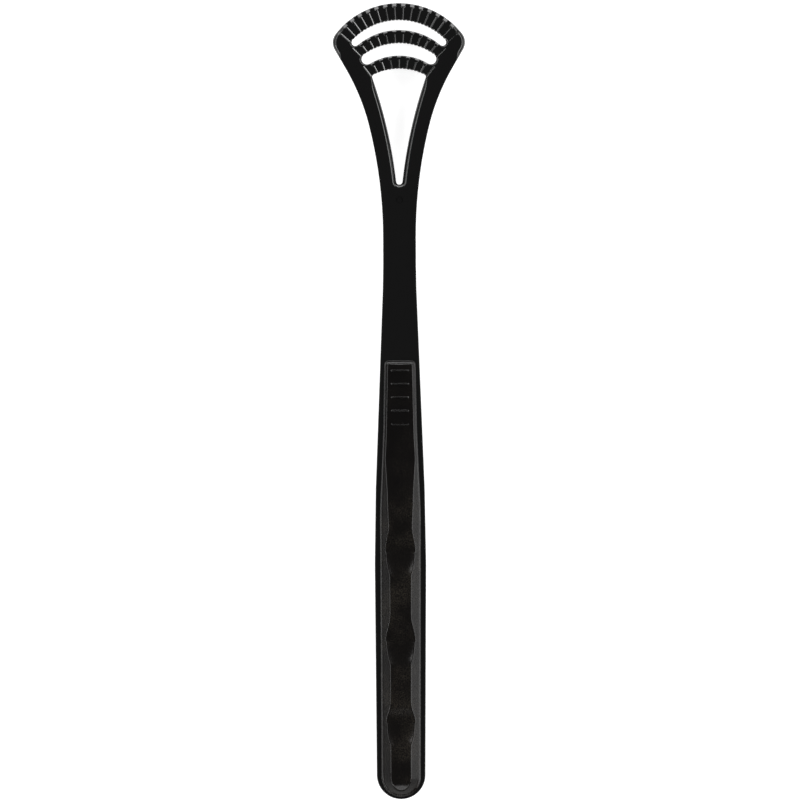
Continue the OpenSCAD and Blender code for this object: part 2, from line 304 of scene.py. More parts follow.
class Plan:
    """The tool's outlines, worked out from the sizes. Lengths are in millimetres, angles in degrees."""

    # Head: straight sides, in parts so that the ear's rounding can die away along them, and two curves
    side_lean = 30
    side_parts = 16
    shoulder_radius = 53
    shoulder_lean = 14
    neck_curve_radius = 110
    # Handle: where it starts and stops widening, and how its underside rises to the even head
    taper_start = 124.5
    taper_end = 65
    taper_radii = (150, 400)
    even_head = 24
    rise_start = 101
    rise_radius = 200
    # Bars from the front backwards: width, how much tighter the back edge curves than the front edge,
    # and how many grooves fewer than the front bar. Slots between them: height and radius of the ends
    bar_widths = (4.07, 3.12, 3.12)
    bar_tightens = (3.95, 1.05, 0)
    bar_grooves_fewer = (0, 4, 7)
    slot_heights = (2.38, 2.98)
    slot_end_radii = (0.87, 1.3)
    # Long window, whose sides stand in from the arms by its draft
    window_length = 27.62
    window_end_radius = 0.74
    window_side_radius = 113
    window_corner_radius = 0.5
    window_draft = 0.25
    # Front grip: rim left at the butt, depth of the pocket, and widths at three places along it
    rim = 0.55
    pocket = 1.2
    pad_top = 104.7
    pad_top_width = 7.6
    pad_waist = 87.5
    pad_waist_width = 8.25
    pad_full = 68.5
    pad_width = 9.9
    pad_curve_radius = 60
    pad_corner_radius = 1.1
    pad_end_radius = 4.75
    # Rear grip: its two ends and their radii
    rear_start = 8.5
    rear_end = 98
    rear_low_radius = 4.1
    rear_high_radius = 3.2

    def __init__(self, sizes):
        for name in ScraperSizes.__annotations__:
            value = getattr(sizes, name)
            setattr(self, name, value if name == "grooves" else value / MM)
        self.tip_centre = Vector((0, self.tool_length - self.tip_radius))
        self.draw_head()
        self.draw_handle()
        self.draw_bars()
        self.draw_window()

    def draw_head(self):
        """Right side of the head: front edge, ear, straight side, shoulder and neck curves."""
        reach = self.head_width / 2 - self.ear_radius
        rise = math.sqrt((self.tip_radius - self.ear_radius) ** 2 - reach**2)
        self.ear_centre = Vector((reach, self.tip_centre.y + rise))
        self.outward = polar(1, -self.side_lean)
        self.upward = Vector((-self.outward.y, self.outward.x))
        self.side_from = self.ear_centre + self.ear_radius * self.outward
        level = math.cos(math.radians(self.shoulder_lean))
        shoulder_drop = self.shoulder_radius * (level - math.cos(math.radians(self.side_lean)))
        neck_drop = self.neck_curve_radius * (1 - level)
        run = self.side_from.x - self.neck_width / 2 - shoulder_drop - neck_drop
        side_to = self.side_from - run / math.sin(math.radians(self.side_lean)) * self.upward
        shoulder_centre = side_to + self.shoulder_radius * self.outward
        wider = self.neck_curve_radius - self.shoulder_radius
        self.neck_curve_centre = shoulder_centre + wider * polar(1, -self.shoulder_lean)
        ear_start = bearing(self.ear_centre - self.tip_centre)
        shoulder_end = 180 - self.shoulder_lean
        self.head_side = (
            arc(self.tip_centre, self.tip_radius, 90, ear_start, 2)
            + arc(self.ear_centre, self.ear_radius, ear_start, -self.side_lean, 5)
            + [self.side_from.lerp(side_to, i / self.side_parts) for i in range(1, self.side_parts)]
            + arc(shoulder_centre, self.shoulder_radius, 180 - self.side_lean, shoulder_end, 1.5)
            + arc(self.neck_curve_centre, self.neck_curve_radius, shoulder_end, 180, 1.5)
        )

    def draw_handle(self):
        """Right side of the handle and of the two grips."""
        butt = self.butt_width / 2
        self.handle_side = rounded_path(
            [
                (self.neck_width / 2, self.neck_curve_centre.y),
                (self.neck_width / 2, self.taper_start, self.taper_radii[0]),
                (self.handle_width / 2, self.taper_end, self.taper_radii[1]),
                (butt, butt),
            ]
        ) + arc((0, butt), butt, 0, -90)
        self.pad_end = Vector((0, self.rim + self.pad_end_radius))
        self.pad_side = rounded_path(
            [
                (0, self.pad_top),
                (self.pad_top_width / 2, self.pad_top, self.pad_corner_radius),
                (self.pad_waist_width / 2, self.pad_waist, self.pad_curve_radius),
                (self.pad_width / 2, self.pad_full, self.pad_curve_radius),
                (self.pad_end_radius, self.pad_end.y),
            ]
        ) + arc(self.pad_end, self.pad_end_radius, 0, -90)
        high, low = self.rear_high_radius, self.rear_low_radius
        self.rear_side = arc((0, self.rear_end - high), high, 90, 0)
        self.rear_side += arc((0, self.rear_start + low), low, 0, -90)

    def on_arm(self, centre, radius, more):
        """The point on the arm's inner edge, moved in by more, that lies radius from centre."""
        o = Vector((0, centre))
        away = self.outward.dot(self.side_from - o) - self.arm_width - more
        return o + away * self.outward + math.sqrt(radius**2 - away**2) * self.upward

    def slot(self, centre, radius, height, end_radius):
        """Right side of a slot, and the centre of its back edge."""
        end = self.on_arm(centre, radius - end_radius, end_radius)
        reach = centre + radius - height + end_radius
        back = (reach**2 - end.length_squared) / (2 * (reach - end.y))
        top = bearing(end - Vector((0, centre)))
        low = bearing(Vector((0, back)) - end)
        side = (
            arc((0, centre), radius, 90, top)
            + arc(end, end_radius, top, low, 15)
            + arc((0, back), centre + radius - height - back, bearing(end - Vector((0, back))), 90)
        )
        return side, back

    def draw_bars(self):
        """The bars and the slots between them, from the front backwards."""
        centre, radius = self.tip_centre.y, self.tip_radius
        self.slots, self.bars = [], []
        for i, width in enumerate(self.bar_widths):
            back_radius = radius - self.bar_tightens[i]
            back_centre = centre + radius - width - back_radius
            count = self.grooves - self.bar_grooves_fewer[i]
            self.bars.append(Bar(centre, radius, back_centre, back_radius, width, count))
            if i < len(self.slot_heights):
                height = self.slot_heights[i]
                side, centre = self.slot(back_centre, back_radius, height, self.slot_end_radii[i])
                self.slots.append(side)
                radius = back_centre + back_radius - height - centre

    def draw_window(self):
        """The long window: an arc at the back bar, two long curved sides and a round end."""
        centre, radius = self.bars[-1].back_centre, self.bars[-1].back_radius
        self.window_top = centre + radius
        edge = self.on_arm(centre, radius, self.window_draft)
        end_radius = self.window_end_radius
        end = Vector((0, self.window_top - self.window_length + end_radius))
        side_radius = self.window_side_radius + self.window_draft
        side_centre = crossing(edge, side_radius, end, side_radius + end_radius)
        start = bearing(edge - side_centre)
        turn = short_turn(bearing(end - side_centre) - start)
        back = arc((0, centre), radius, 90, bearing(edge - Vector((0, centre))))
        side = arc(side_centre, side_radius, start, start + turn, 0.7)
        rounded = corner(back[-2], edge, side[1], self.window_corner_radius)
        tip = arc(end, end_radius, short_turn(start + turn + 180), -90, 10)
        self.window_side = back[:-1] + rounded + side[2:] + tip


# The hard moulding

# How far a cutter reaches past the surface that it cuts
OVERRUN = 1

# Roundings of the moulding's edges in millimetres
EAR_ROUND = 0.95
HANDLE_ROUND = 0.16
SIDE_ROUND = 0.12
FRONT_ROUND = 0.24
WINDOW_ROUND = 1.1
SLOT_ROUND = 0.3
SLOT_END_ROUND = 0.55
UNDER_ROUND = 0.5

# Where one rounding passes into another: distance from an ear's arc, places along the handle, distance
# of a slot's edge from the arm, and distance behind the back bar
EAR_FADE = 1
HANDLE_FADE = (88, 125)
SLOT_FADE = (0.1, 0.85)
WINDOW_FADE = (0.8, 4.5)

# How near a point lies to a level face, to the front edge or to the back bar's edge to count as on it
FACE_REACH = 0.1
FRONT_REACH = 0.02
BAR_REACH = 0.2

# A mouth's sections from the back forwards: distance behind the bar's front edge, half width at the
# top face, and depth. The front bar has the longer mouths
MOUTH = ((1.1, 0.26, 0.05), (0.75, 0.6, 0.1), (0, 0.7, 0.66), (-0.3, 0.72, 0.9))
SHORT_MOUTH = ((0.95, 0.26, 0.1), (0.4, 0.64, 0.16), (0, 0.7, 0.45), (-0.3, 0.72, 0.75))

# Width of a mouth's floor as a share of its width at the top face
MOUTH_FLOOR = 0.72

# Half width of a groove's flat floor, and how far its cutter runs past the bar behind and in front
GROOVE_FLOOR = 0.03
GROOVE_PAST = (0.4, 0.3)

# A flute's radius, how far it flares out and down at the top face, and how far behind the bar's back
# edge its centre stands
FLUTE_RADIUS = 0.27
FLUTE_FLARE = 0.15
FLUTE_BEHIND = 0.16

# Round mark that a moulding pin left on the neck
MARK_FROM_TIP = 47
MARK_RADIUS = 0.85
MARK_DEPTH = 0.15


def moulding_blank(plan):
    """The moulding's outline and side view, without its openings."""
    outline = closed(plan.head_side + plan.handle_side)
    obj = prism("frame_moulding", outline, plan.underside - OVERRUN, plan.top + OVERRUN)
    head_low = plan.top - plan.head_thickness
    past_tip = plan.tool_length + OVERRUN
    under = rounded_path(
        [
            (past_tip, head_low),
            (plan.tool_length - plan.even_head, head_low, plan.rise_radius),
            (plan.rise_start, plan.underside, plan.rise_radius),
            (-OVERRUN, plan.underside),
        ]
    )
    upper = [Vector((-OVERRUN, plan.top)), Vector((past_tip, plan.top))]
    cut(obj, side_prism("side_view", under + upper, plan.head_width), "INTERSECT")
    # Halved along the middle, so that an opening leaves no hole inside a level face. The edge that
    # would bridge such a hole pulls the opening's rounded edge aside
    edit(obj)
    bpy.ops.mesh.bisect(plane_co=(0, 0, 0), plane_no=(1, 0, 0))
    rest()
    return obj


def outer_round(plan, point):
    """Rounding of the outer edge at a point: on the top face full at the ears and slight elsewhere."""
    if point.z < plan.top - FACE_REACH:
        return UNDER_ROUND
    flat = Vector((abs(point.x), point.y))
    on_front = (flat - plan.tip_centre).length > plan.tip_radius - FRONT_REACH
    handle = 1 - ease(point.y, *HANDLE_FADE)
    plain = SIDE_ROUND + (HANDLE_ROUND - SIDE_ROUND) * handle
    if on_front and flat.y > plan.ear_centre.y:
        plain = FRONT_ROUND
    from_ear = (flat - plan.ear_centre).length - plan.ear_radius
    return plain + (EAR_ROUND - plain) * (1 - ease(from_ear, 0, EAR_FADE))


def opening_round(plan, point):
    """Rounding of the openings' edges at a point: slight along the bars, full beside the arms."""
    if point.z < plan.top - FACE_REACH:
        return SLOT_ROUND
    flat = Vector((abs(point.x), point.y))
    if point.y > plan.window_top - BAR_REACH:
        inward = plan.outward.dot(plan.side_from - flat) - plan.arm_width
        return SLOT_ROUND + (SLOT_END_ROUND - SLOT_ROUND) * (1 - ease(inward, *SLOT_FADE))
    bar = plan.bars[-1]
    behind = bar.back_centre + math.sqrt(bar.back_radius**2 - flat.x**2) - flat.y
    return SLOT_ROUND + (WINDOW_ROUND - SLOT_ROUND) * ease(behind, *WINDOW_FADE)


def round_edges(obj, plan, radius_at):
    """Rolls over the edges between level faces and upright ones, as wide as radius_at says."""
    mesh = obj.data
    normals = {}
    for polygon in mesh.polygons:
        for key in polygon.edge_keys:
            normals.setdefault(key, []).append(abs(polygon.normal.z))
    weights = mesh.attributes.get("bevel_weight_edge")
    weights = weights or mesh.attributes.new("bevel_weight_edge", "FLOAT", "EDGE")
    for edge in mesh.edges:
        level = sorted(normals[edge.key])
        sharp = len(level) == 2 and level[0] < 0.1 and level[1] > 0.9
        middle = (mesh.vertices[edge.vertices[0]].co + mesh.vertices[edge.vertices[1]].co) / 2
        weights.data[edge.index].value = radius_at(plan, middle) if sharp else 0
    # An edge's weight is its rounding in millimetres, so the width that it multiplies is 1
    return modified(
        obj,
        "BEVEL",
        width=1,
        segments=4,
        profile=0.4,
        limit_method="WEIGHT",
        offset_type="OFFSET",
        use_clamp_overlap=False,
        loop_slide=False,
    )


def groove_section(plan):
    """The V of a groove, widened over the top face, as (across, height)."""
    low, high = plan.top - plan.groove_depth, plan.top + OVERRUN
    spread = (plan.groove_half - GROOVE_FLOOR) / plan.groove_depth
    wide = GROOVE_FLOOR + spread * (high - low)
    corners = [(wide, high), (GROOVE_FLOOR, low), (-GROOVE_FLOOR, low), (-wide, high)]
    return [Vector(corner) for corner in corners]


def groove_cutter(plan, bar):
    """One groove of a bar, along +Y from the centre of its front edge."""
    behind, before = GROOVE_PAST
    low, high = bar.front_radius - bar.width - behind, bar.front_radius + before
    obj = drawn("groove", groove_section(plan), lambda p: (p.x, low, p.y))
    return raised(obj, (0, high - low, 0))


def mouth_cutter(plan, bar):
    """The scoop that opens a groove at the bar's front edge, along +Y."""
    sections = MOUTH if bar == plan.bars[0] else SHORT_MOUTH
    behind, half, depth = sections[0]
    right = [
        Vector((half, plan.top + OVERRUN)),
        Vector((half, plan.top)),
        Vector((half * MOUTH_FLOOR, plan.top - depth)),
    ]
    obj = drawn("mouth", closed(right), lambda p: (p.x, bar.front_radius - behind, p.y))
    edit(obj)
    for (behind, half, depth), (next_behind, next_half, next_depth) in zip(sections, sections[1:]):
        bpy.ops.mesh.extrude_region_move(TRANSFORM_OT_translate={"value": (0, behind - next_behind, 0)})
        bpy.ops.transform.resize(
            value=(next_half / half, 1, next_depth / depth),
            center_override=(0, bar.front_radius - next_behind, plan.top),
        )
    return face_out(obj)


def flute_cutter(plan):
    """One upright flute, which flares where it meets the top face."""
    rest()
    radius, flare = FLUTE_RADIUS, FLUTE_FLARE
    height = plan.head_thickness + OVERRUN
    bpy.ops.mesh.primitive_cylinder_add(
        vertices=12, radius=radius, depth=height, location=(0, 0, plan.top - flare - height / 2)
    )
    obj = bpy.context.object
    bpy.ops.object.transform_apply()
    upper = max(obj.data.polygons, key=lambda p: p.center.z).index
    edit(obj)
    bpy.ops.mesh.select_mode(type="FACE")
    bpy.ops.mesh.select_all(action="DESELECT")
    bpy.ops.object.mode_set(mode="OBJECT")
    obj.data.polygons[upper].select = True
    bpy.ops.object.mode_set(mode="EDIT")
    grown = (radius + flare) / radius
    bpy.ops.mesh.extrude_region_move(TRANSFORM_OT_translate={"value": (0, 0, flare)})
    bpy.ops.transform.resize(value=(grown, grown, 1), center_override=(0, 0, plan.top))
    bpy.ops.mesh.extrude_region_move(TRANSFORM_OT_translate={"value": (0, 0, flare)})
    return face_out(obj)


def groove_step(plan, bar):
    """Angle between a bar's grooves, in degrees."""
    return math.degrees(plan.groove_pitch / (bar.front_radius - bar.width / 2))


def bar_back(bar, degrees):
    """Distance from a bar's front centre to its back edge, at an angle from the centre line."""
    apart = bar.back_centre - bar.front_centre
    turned = apart * math.cos(math.radians(degrees))
    return turned + math.sqrt(turned**2 - apart**2 + bar.back_radius**2)


def cutters_of(plan, bar, flute):
    """The grooves of a bar, their mouths, and the flutes along its back edge at half the pitch."""
    half_step, count = groove_step(plan, bar) / 2, bar.grooves
    groove, mouth = groove_cutter(plan, bar), mouth_cutter(plan, bar)
    to_centre = Matrix.Translation((0, bar.front_centre, 0))
    grooves, mouths, flutes = [], [], []
    for i in range(1 - count, count):
        turn = to_centre @ Matrix.Rotation(math.radians(-i * half_step), 4, "Z")
        outermost = abs(i) == count - 1
        if (i + count) % 2:
            grooves.append(copied(groove, turn))
            if bar == plan.bars[0] or not outermost:
                mouths.append(copied(mouth, turn))
        if not outermost:
            reach = bar_back(bar, i * half_step) - FLUTE_BEHIND
            flutes.append(copied(flute, turn @ Matrix.Translation((0, reach, 0))))
    drop(groove)
    drop(mouth)
    return grooves, mouths, flutes


def frame_moulding(plan):
    """The whole moulding: blank, openings, rounded edges, grooves, flutes and pockets."""
    obj = round_edges(moulding_blank(plan), plan, outer_round)
    for side in plan.slots + [plan.window_side]:
        cut(obj, prism("opening", closed(side), -OVERRUN, plan.top + OVERRUN))
    round_edges(obj, plan, opening_round)
    flute = flute_cutter(plan)
    sets = [cutters_of(plan, bar, flute) for bar in plan.bars]
    drop(flute)
    for alike in zip(*sets):
        cut(obj, joined(sum(alike, [])))
    pocket_floor, over_top = plan.top - plan.pocket, plan.top + OVERRUN
    cut(obj, prism("front_pocket", closed(plan.pad_side), pocket_floor, over_top))
    cut(obj, prism("rear_pocket", closed(plan.rear_side), -OVERRUN, REAR_HIGH.z / MM))
    rest()
    bpy.ops.mesh.primitive_cylinder_add(
        vertices=32,
        radius=MARK_RADIUS,
        depth=OVERRUN,
        location=(0, plan.tool_length - MARK_FROM_TIP, plan.top - MARK_DEPTH + OVERRUN / 2),
    )
    return cut(obj, bpy.context.object)


# The front grip

# Finger hollows as (deepest place, length down to its crisp edge, length up to its soft edge)
HOLLOWS = ((58.9, 6.6, 8.5), (37.6, 6.4, 7.5), (18.1, 6.3, 6.0))

# The grip's middle line as (place along the tool, height), hollows left aside
CROWNS = (
    (104.7, 7.75),
    (81, 7.75),
    (73, 8.5),
    (66, 8.9),
    (62, 9.05),
    (50, 9.1),
    (0, 9.1),
)

# Fingertip ribs: how many, place of the first, pitch, half length, length of the end that dies away,
# and how much lower each stands than the one before, as a share of the first one's height
RIB_COUNT = 5
RIB_FIRST = 102.3
RIB_PITCH = 3.2
RIB_HALF = 2.12
RIB_END = 0.2
RIB_FADE = 0.15
RIBS = [RIB_FIRST - RIB_PITCH * i for i in range(RIB_COUNT)]

# The grip's edge: rounding of the lip, lean of the slope beside it, the run over which the slope
# steepens, and its full lean
LIP_ROUND = 0.3
LIP_LEAN = 24
LIP_FILLET = 0.25
FLANK_LEAN = 44

# The end at the butt: height over the lip at the very butt, and lean of the surface from there
END_RISE = 0.3
END_LEAN = 22

# A finger hollow: half width of its U, rise of the U's edge over the crown, and power of its section
HOLLOW_HALF = 5.6
HOLLOW_OVER = 0.05
HOLLOW_POWER = 2.6

# How much the crown falls and a hollow's soft edge rises to the sides, per square of the distance
CROWN_CAMBER = 0.02
HOLLOW_CAMBER = 0.01

# Differences in height within which two surfaces are blended: at the side slopes, at a hollow's crisp
# and soft edges, and at the butt
FLANK_BLEND = 0.06
CRISP_BLEND = 0.12
SOFT_BLEND = 0.3
END_BLEND = 0.4

# Rows of points: the step between them, where the ribs' rows start, how near a rib rows are closer, and
# their step there. Between the ribs the step is twice as wide
ROW_STEP = 0.2
RIB_ROWS_FROM = 88
RIB_REACH = 0.3
RIB_STEP = 0.05

# Columns of points, by their distance from the outline where the grip is widest: those at the lip, and
# the start and step of the even ones inwards
LIP_COLUMNS = [0, 0.02, 0.06, 0.12, 0.2, 0.28, 0.38]
COLUMNS_FROM = 0.5
COLUMN_STEP = 0.16

# Share by which the grip is narrower than its pocket, so that their upright faces don't coincide
GRIP_CLEARANCE = 0.004


class Pad:
    """The front grip's outline and heights in millimetres."""

    def __init__(self, plan):
        self.plan = plan
        self.side = plan.pad_side
        self.lip_top = plan.top + plan.lip
        self.corner_from = plan.pad_top - plan.pad_corner_radius

    def half_width(self, y):
        """Half of the grip's width at a place along the tool."""
        for p, q in zip(self.side, self.side[1:]):
            if q.y <= y <= p.y and p.y > q.y:
                return p.x + (q.x - p.x) * (p.y - y) / (p.y - q.y)
        past_top = y > self.plan.pad_end.y
        return self.plan.pad_top_width / 2 - self.plan.pad_corner_radius if past_top else 0

    def inside(self, x, y):
        """Distance of a point from the grip's outline."""
        plan = self.plan
        if y < plan.pad_end.y:
            return max(0, plan.pad_end_radius - math.hypot(x, plan.pad_end.y - y))
        wide = self.half_width(y) if y < self.corner_from else plan.pad_top_width / 2
        radius = plan.pad_corner_radius
        across, along = abs(x) - (wide - radius), y - self.corner_from
        if across > 0 and along > 0:
            return max(0, radius - math.hypot(across, along))
        return max(0, min(wide - abs(x), plan.pad_top - y))

    def crown(self, y):
        """Height of the middle line, hollows left aside."""
        for (y0, z0), (y1, z1) in zip(CROWNS, CROWNS[1:]):
            if y1 <= y <= y0:
                return z0 + (z1 - z0) * (y0 - y) / (y0 - y1)
        return CROWNS[0][1]

    def height(self, x, y):
        """Height of the grip's surface over a point."""
        inside = self.inside(x, y)
        if inside < LIP_ROUND:
            return self.lip_top - LIP_ROUND + math.sqrt(LIP_ROUND**2 - (LIP_ROUND - inside) ** 2)
        height = self.crown(y) - CROWN_CAMBER * x * x
        for hollow in HOLLOWS:
            height = self.scooped(height, x, y, *hollow)
        end = self.lip_top + END_RISE + math.tan(math.radians(END_LEAN)) * y
        height = lower(height, end, END_BLEND)
        height = lower(self.lip_top + self.flank(inside - LIP_ROUND), height, FLANK_BLEND)
        return height + self.rib(x, y)

    def flank(self, run):
        """Rise of the side slope, which starts gently at the lip and steepens over the fillet."""
        gentle, steep = math.tan(math.radians(LIP_LEAN)), math.tan(math.radians(FLANK_LEAN))
        curved = min(run, LIP_FILLET)
        fillet = gentle * curved + (steep - gentle) * curved**2 / (2 * LIP_FILLET)
        return fillet + steep * (run - curved)

    def scooped(self, height, x, y, deepest, down, up):
        """A finger hollow: a crisp U-shaped edge below and a soft edge above."""
        deep = self.plan.hollow_depth
        floor = self.plan.crown - deep
        if y < deepest:
            away = math.hypot(x / HOLLOW_HALF, (deepest - y) / down)
            return lower(height, floor + (deep + HOLLOW_OVER) * away**HOLLOW_POWER, CRISP_BLEND)
        share = (y - deepest) / up
        rise = deep * ease(share, 0, 1) + max(0, share - 1)
        return lower(height, floor + rise + HOLLOW_CAMBER * x * x, SOFT_BLEND)

    def rib(self, x, y):
        """Height that a fingertip rib adds over a point."""
        radius = self.plan.rib_radius
        for i, place in enumerate(RIBS):
            if abs(y - place) < radius and abs(x) < RIB_HALF:
                faded = (1 - RIB_FADE * i) * (1 - ease(abs(x), RIB_HALF - RIB_END, RIB_HALF))
                return math.sqrt(radius**2 - (y - place) ** 2) * faded
        return 0


def lower(a, b, radius):
    """The lower of two heights, with the crest where they meet rounded over."""
    near = max(0, radius - abs(a - b)) / radius
    return min(a, b) - near * near * radius / 4


def spaced(start, end, step):
    """Even places from start to just before end."""
    count = max(1, math.ceil(abs(end - start) / step))
    return [start + (end - start) * i / count for i in range(count)]


def grip_rows(plan, pad):
    """Places along the grip that get a row of points, closer at its ends and ribs."""
    rows = [plan.pad_end.y - polar(plan.pad_end_radius, turn).y for turn in spaced(90, 0, 3)]
    rows += spaced(plan.pad_end.y, RIB_ROWS_FROM, ROW_STEP)
    at = RIB_ROWS_FROM
    for place in reversed(RIBS):
        rows += spaced(at, place - RIB_REACH, 2 * ROW_STEP)
        at = place + RIB_REACH
        rows += spaced(place - RIB_REACH, at, RIB_STEP)
    rows += spaced(at, pad.corner_from, ROW_STEP)
    return rows + [pad.corner_from + polar(plan.pad_corner_radius, turn).y for turn in range(0, 91, 6)]


def grip_columns(plan):
    """Shares of the half width that get a column of points, closer at the lip."""
    wide = plan.pad_width / 2
    inwards = LIP_COLUMNS + spaced(COLUMNS_FROM, wide, COLUMN_STEP) + [wide]
    right = [1 - inward / wide for inward in inwards]
    return [-share for share in right] + list(reversed(right[:-1]))


def front_grip(plan):
    """The front grip: a grid laid on its outline, raised to its heights, with an upright skirt."""
    pad = Pad(plan)
    rows, columns = grip_rows(plan, pad), grip_columns(plan)
    last_row, last_column = len(rows) - 1, len(columns) - 1
    rest()
    bpy.ops.mesh.primitive_grid_add(x_subdivisions=last_column, y_subdivisions=last_row, size=2)
    obj = bpy.context.object
    obj.name = "front_soft_grip"
    for vertex in obj.data.vertices:
        y = rows[round((vertex.co.y + 1) / 2 * last_row)]
        x = columns[round((vertex.co.x + 1) / 2 * last_column)] * pad.half_width(y)
        vertex.co = (x * (1 - GRIP_CLEARANCE), y, pad.height(x, y))
    edit(obj)
    # The points of the first row, at the butt, all lie together
    bpy.ops.mesh.remove_doubles(threshold=0.0005)
    bpy.ops.mesh.select_mode(type="EDGE")
    bpy.ops.mesh.select_all(action="DESELECT")
    bpy.ops.mesh.select_non_manifold()
    bpy.ops.mesh.extrude_edges_move()
    base = (0, 0, plan.top - plan.pocket)
    bpy.ops.transform.resize(value=(1, 1, 0), center_override=base)
    bpy.ops.mesh.edge_face_add()
    return face_out(obj)


# The rear grip

# Rounding of its lower edge, and its cross grooves: how many, their pitch and their radius
REAR_ROUND = 0.35
REAR_GROOVES = 9
REAR_GROOVE_PITCH = 3.2
REAR_GROOVE_RADIUS = 0.45


def rear_grip(plan):
    """The rear grip: a long tapered oval with rounded edges and grooves across it."""
    obj = prism("rear_soft_grip", closed(plan.rear_side), 0, REAR_HIGH.z / MM)
    round_edges(obj, plan, lambda _, point: REAR_ROUND if point.z < FACE_REACH else 0)
    middle = (plan.rear_start + plan.rear_end) / 2
    first = middle - REAR_GROOVE_PITCH * (REAR_GROOVES - 1) / 2
    rest()
    bpy.ops.mesh.primitive_cylinder_add(
        vertices=24, radius=REAR_GROOVE_RADIUS, depth=plan.handle_width, rotation=(0, math.pi / 2, 0)
    )
    bpy.ops.object.transform_apply()
    groove = bpy.context.object
    places = [(0, first + REAR_GROOVE_PITCH * i, 0) for i in range(REAR_GROOVES)]
    grooves = [copied(groove, Matrix.Translation(place)) for place in places]
    drop(groove)
    return cut(obj, joined(grooves))


# Finishing


def finish(obj, plan, node, material, degrees):
    """Brings a shape into the frame, smooths its edges under an angle, gives it its material, puts it
    under the root body and hides its CAD node.
    """
    obj.data.transform(Matrix.Scale(MM, 4) @ Matrix.Translation((0, -plan.tool_length / 2, 0)))
    obj.data.update()
    pick(obj)
    bpy.ops.object.shade_smooth_by_angle(angle=math.radians(degrees))
    modified(obj, "WEIGHTED_NORMAL", keep_sharp=True, weight=50)
    obj.data.materials.clear()
    obj.data.materials.append(material)
    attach(obj, "root")
    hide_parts(node)


# Materials

# Scales of their patterns in millimetres: ripple of the polished mould, grain of the eroded one, and
# patches of painted sheen. The real grain is about 0.05, too fine to show, so it is drawn coarser
RIPPLE = 3
GRAIN = 0.22
PATCH = 7

# The painted sheen thickens from the first place to the second and is thick from there to the butt.
# Places are in millimetres along the tool, from its middle
SHEEN_FROM = -18
SHEEN_FULLY = -30

# Glow that brings the lit floor up to white where it is seen as the background
FLOOR_GLOW = 0.8


def add(tree, kind, settings=None, **inputs):
    """Adds a node with its settings, and gives its inputs, by name or number, values or links."""
    node = tree.nodes.new(kind)
    for key, value in (settings or {}).items():
        setattr(node, key, value)
    for name, source in inputs.items():
        socket = node.inputs[int(name[1:])] if name[0] == "_" else node.inputs[name.replace("_", " ")]
        if isinstance(source, bpy.types.NodeSocket):
            tree.links.new(source, socket)
        else:
            socket.default_value = source
    return node.outputs


def surface(name):
    """A new material's tree, its shader, and the piece's own coordinates."""
    material = bpy.data.materials.new(name)
    material.use_nodes = True
    tree = material.node_tree
    return material, tree, tree.nodes["Principled BSDF"], add(tree, "ShaderNodeTexCoord")["Object"]


def gloss_black_polypropylene(colours):
    """Polypropylene from a polished mould: a deep black gloss with a faint moulded ripple."""
    material, tree, shader, place = surface("gloss_black_polypropylene")
    shader.inputs["Base Color"].default_value = (*colours.moulding, 1)
    shader.inputs["IOR"].default_value = 1.49
    ripple = add(tree, "ShaderNodeTexNoise", Vector=place, Scale=1 / (RIPPLE * MM), Detail=2.0)
    rough = add(tree, "ShaderNodeMapRange", Value=ripple[0], To_Min=0.1, To_Max=0.18)
    bump = add(tree, "ShaderNodeBump", Strength=0.15, Distance=0.01 * MM, Height=ripple[0])
    tree.links.new(rough[0], shader.inputs["Roughness"])
    tree.links.new(bump[0], shader.inputs["Normal"])
    return material


def fine_grained_elastomer(colours):
    """Thermoplastic elastomer from a spark-eroded mould: a dim sheen, a fine grain, and pale warm
    specks in patches towards the butt, which are a painted sheen of the lit grain."""
    material, tree, shader, place = surface("fine_grained_elastomer")
    shader.inputs["IOR"].default_value = 1.5
    shader.inputs["Specular IOR Level"].default_value = 0.28
    grain = add(tree, "ShaderNodeTexNoise", Vector=place, Scale=1 / (GRAIN * MM), Detail=4.0)
    patches = add(tree, "ShaderNodeTexNoise", Vector=place, Scale=1 / (PATCH * MM), Detail=2.0)
    # Painted sheen: pale warm specks in noise patches, thicker towards the butt
    sheen_amount_range = {"From_Min": 0.4, "From_Max": 0.65, "To_Min": 0.04, "To_Max": 0.22}
    sheen_amount = add(tree, "ShaderNodeMapRange", Value=patches[0], **sheen_amount_range)
    along = add(tree, "ShaderNodeSeparateXYZ", Vector=place)["Y"]
    sheen_towards_butt_range = {"From_Min": SHEEN_FROM * MM, "From_Max": SHEEN_FULLY * MM, "To_Min": 0.25}
    sheen_towards_butt = add(tree, "ShaderNodeMapRange", Value=along, **sheen_towards_butt_range)
    dust = add(tree, "ShaderNodeMath", {"operation": "MULTIPLY"}, _0=sheen_amount[0], _1=sheen_towards_butt[0])
    # Only the higher grains get the painted sheen
    speck_range = {"From_Min": 0.42, "From_Max": 0.8, "To_Max": dust[0]}
    speck = add(tree, "ShaderNodeMapRange", Value=grain[0], **speck_range)
    # The pale colour is the painted sheen
    plain, sheen_tint = (*colours.grip, 1), (*colours.dust, 1)
    tint = add(tree, "ShaderNodeMix", {"data_type": "RGBA"}, _0=speck[0], _6=plain, _7=sheen_tint)
    rough = add(tree, "ShaderNodeMapRange", Value=grain[0], To_Min=0.14, To_Max=0.2)
    bump = add(tree, "ShaderNodeBump", Strength=0.5, Distance=0.02 * MM, Height=grain[0])
    tree.links.new(tint[2], shader.inputs["Base Color"])
    tree.links.new(rough[0], shader.inputs["Roughness"])
    tree.links.new(bump[0], shader.inputs["Normal"])
    return material


def shown_background(tree):
    """1 for the rays that show the background: straight from the camera, by gloss or through glass."""
    path = add(tree, "ShaderNodeLightPath")
    either = {"operation": "MAXIMUM"}
    seen = add(tree, "ShaderNodeMath", either, _0=path["Is Camera Ray"], _1=path["Is Glossy Ray"])
    return add(tree, "ShaderNodeMath", either, _0=seen[0], _1=path["Is Transmission Ray"])[0]


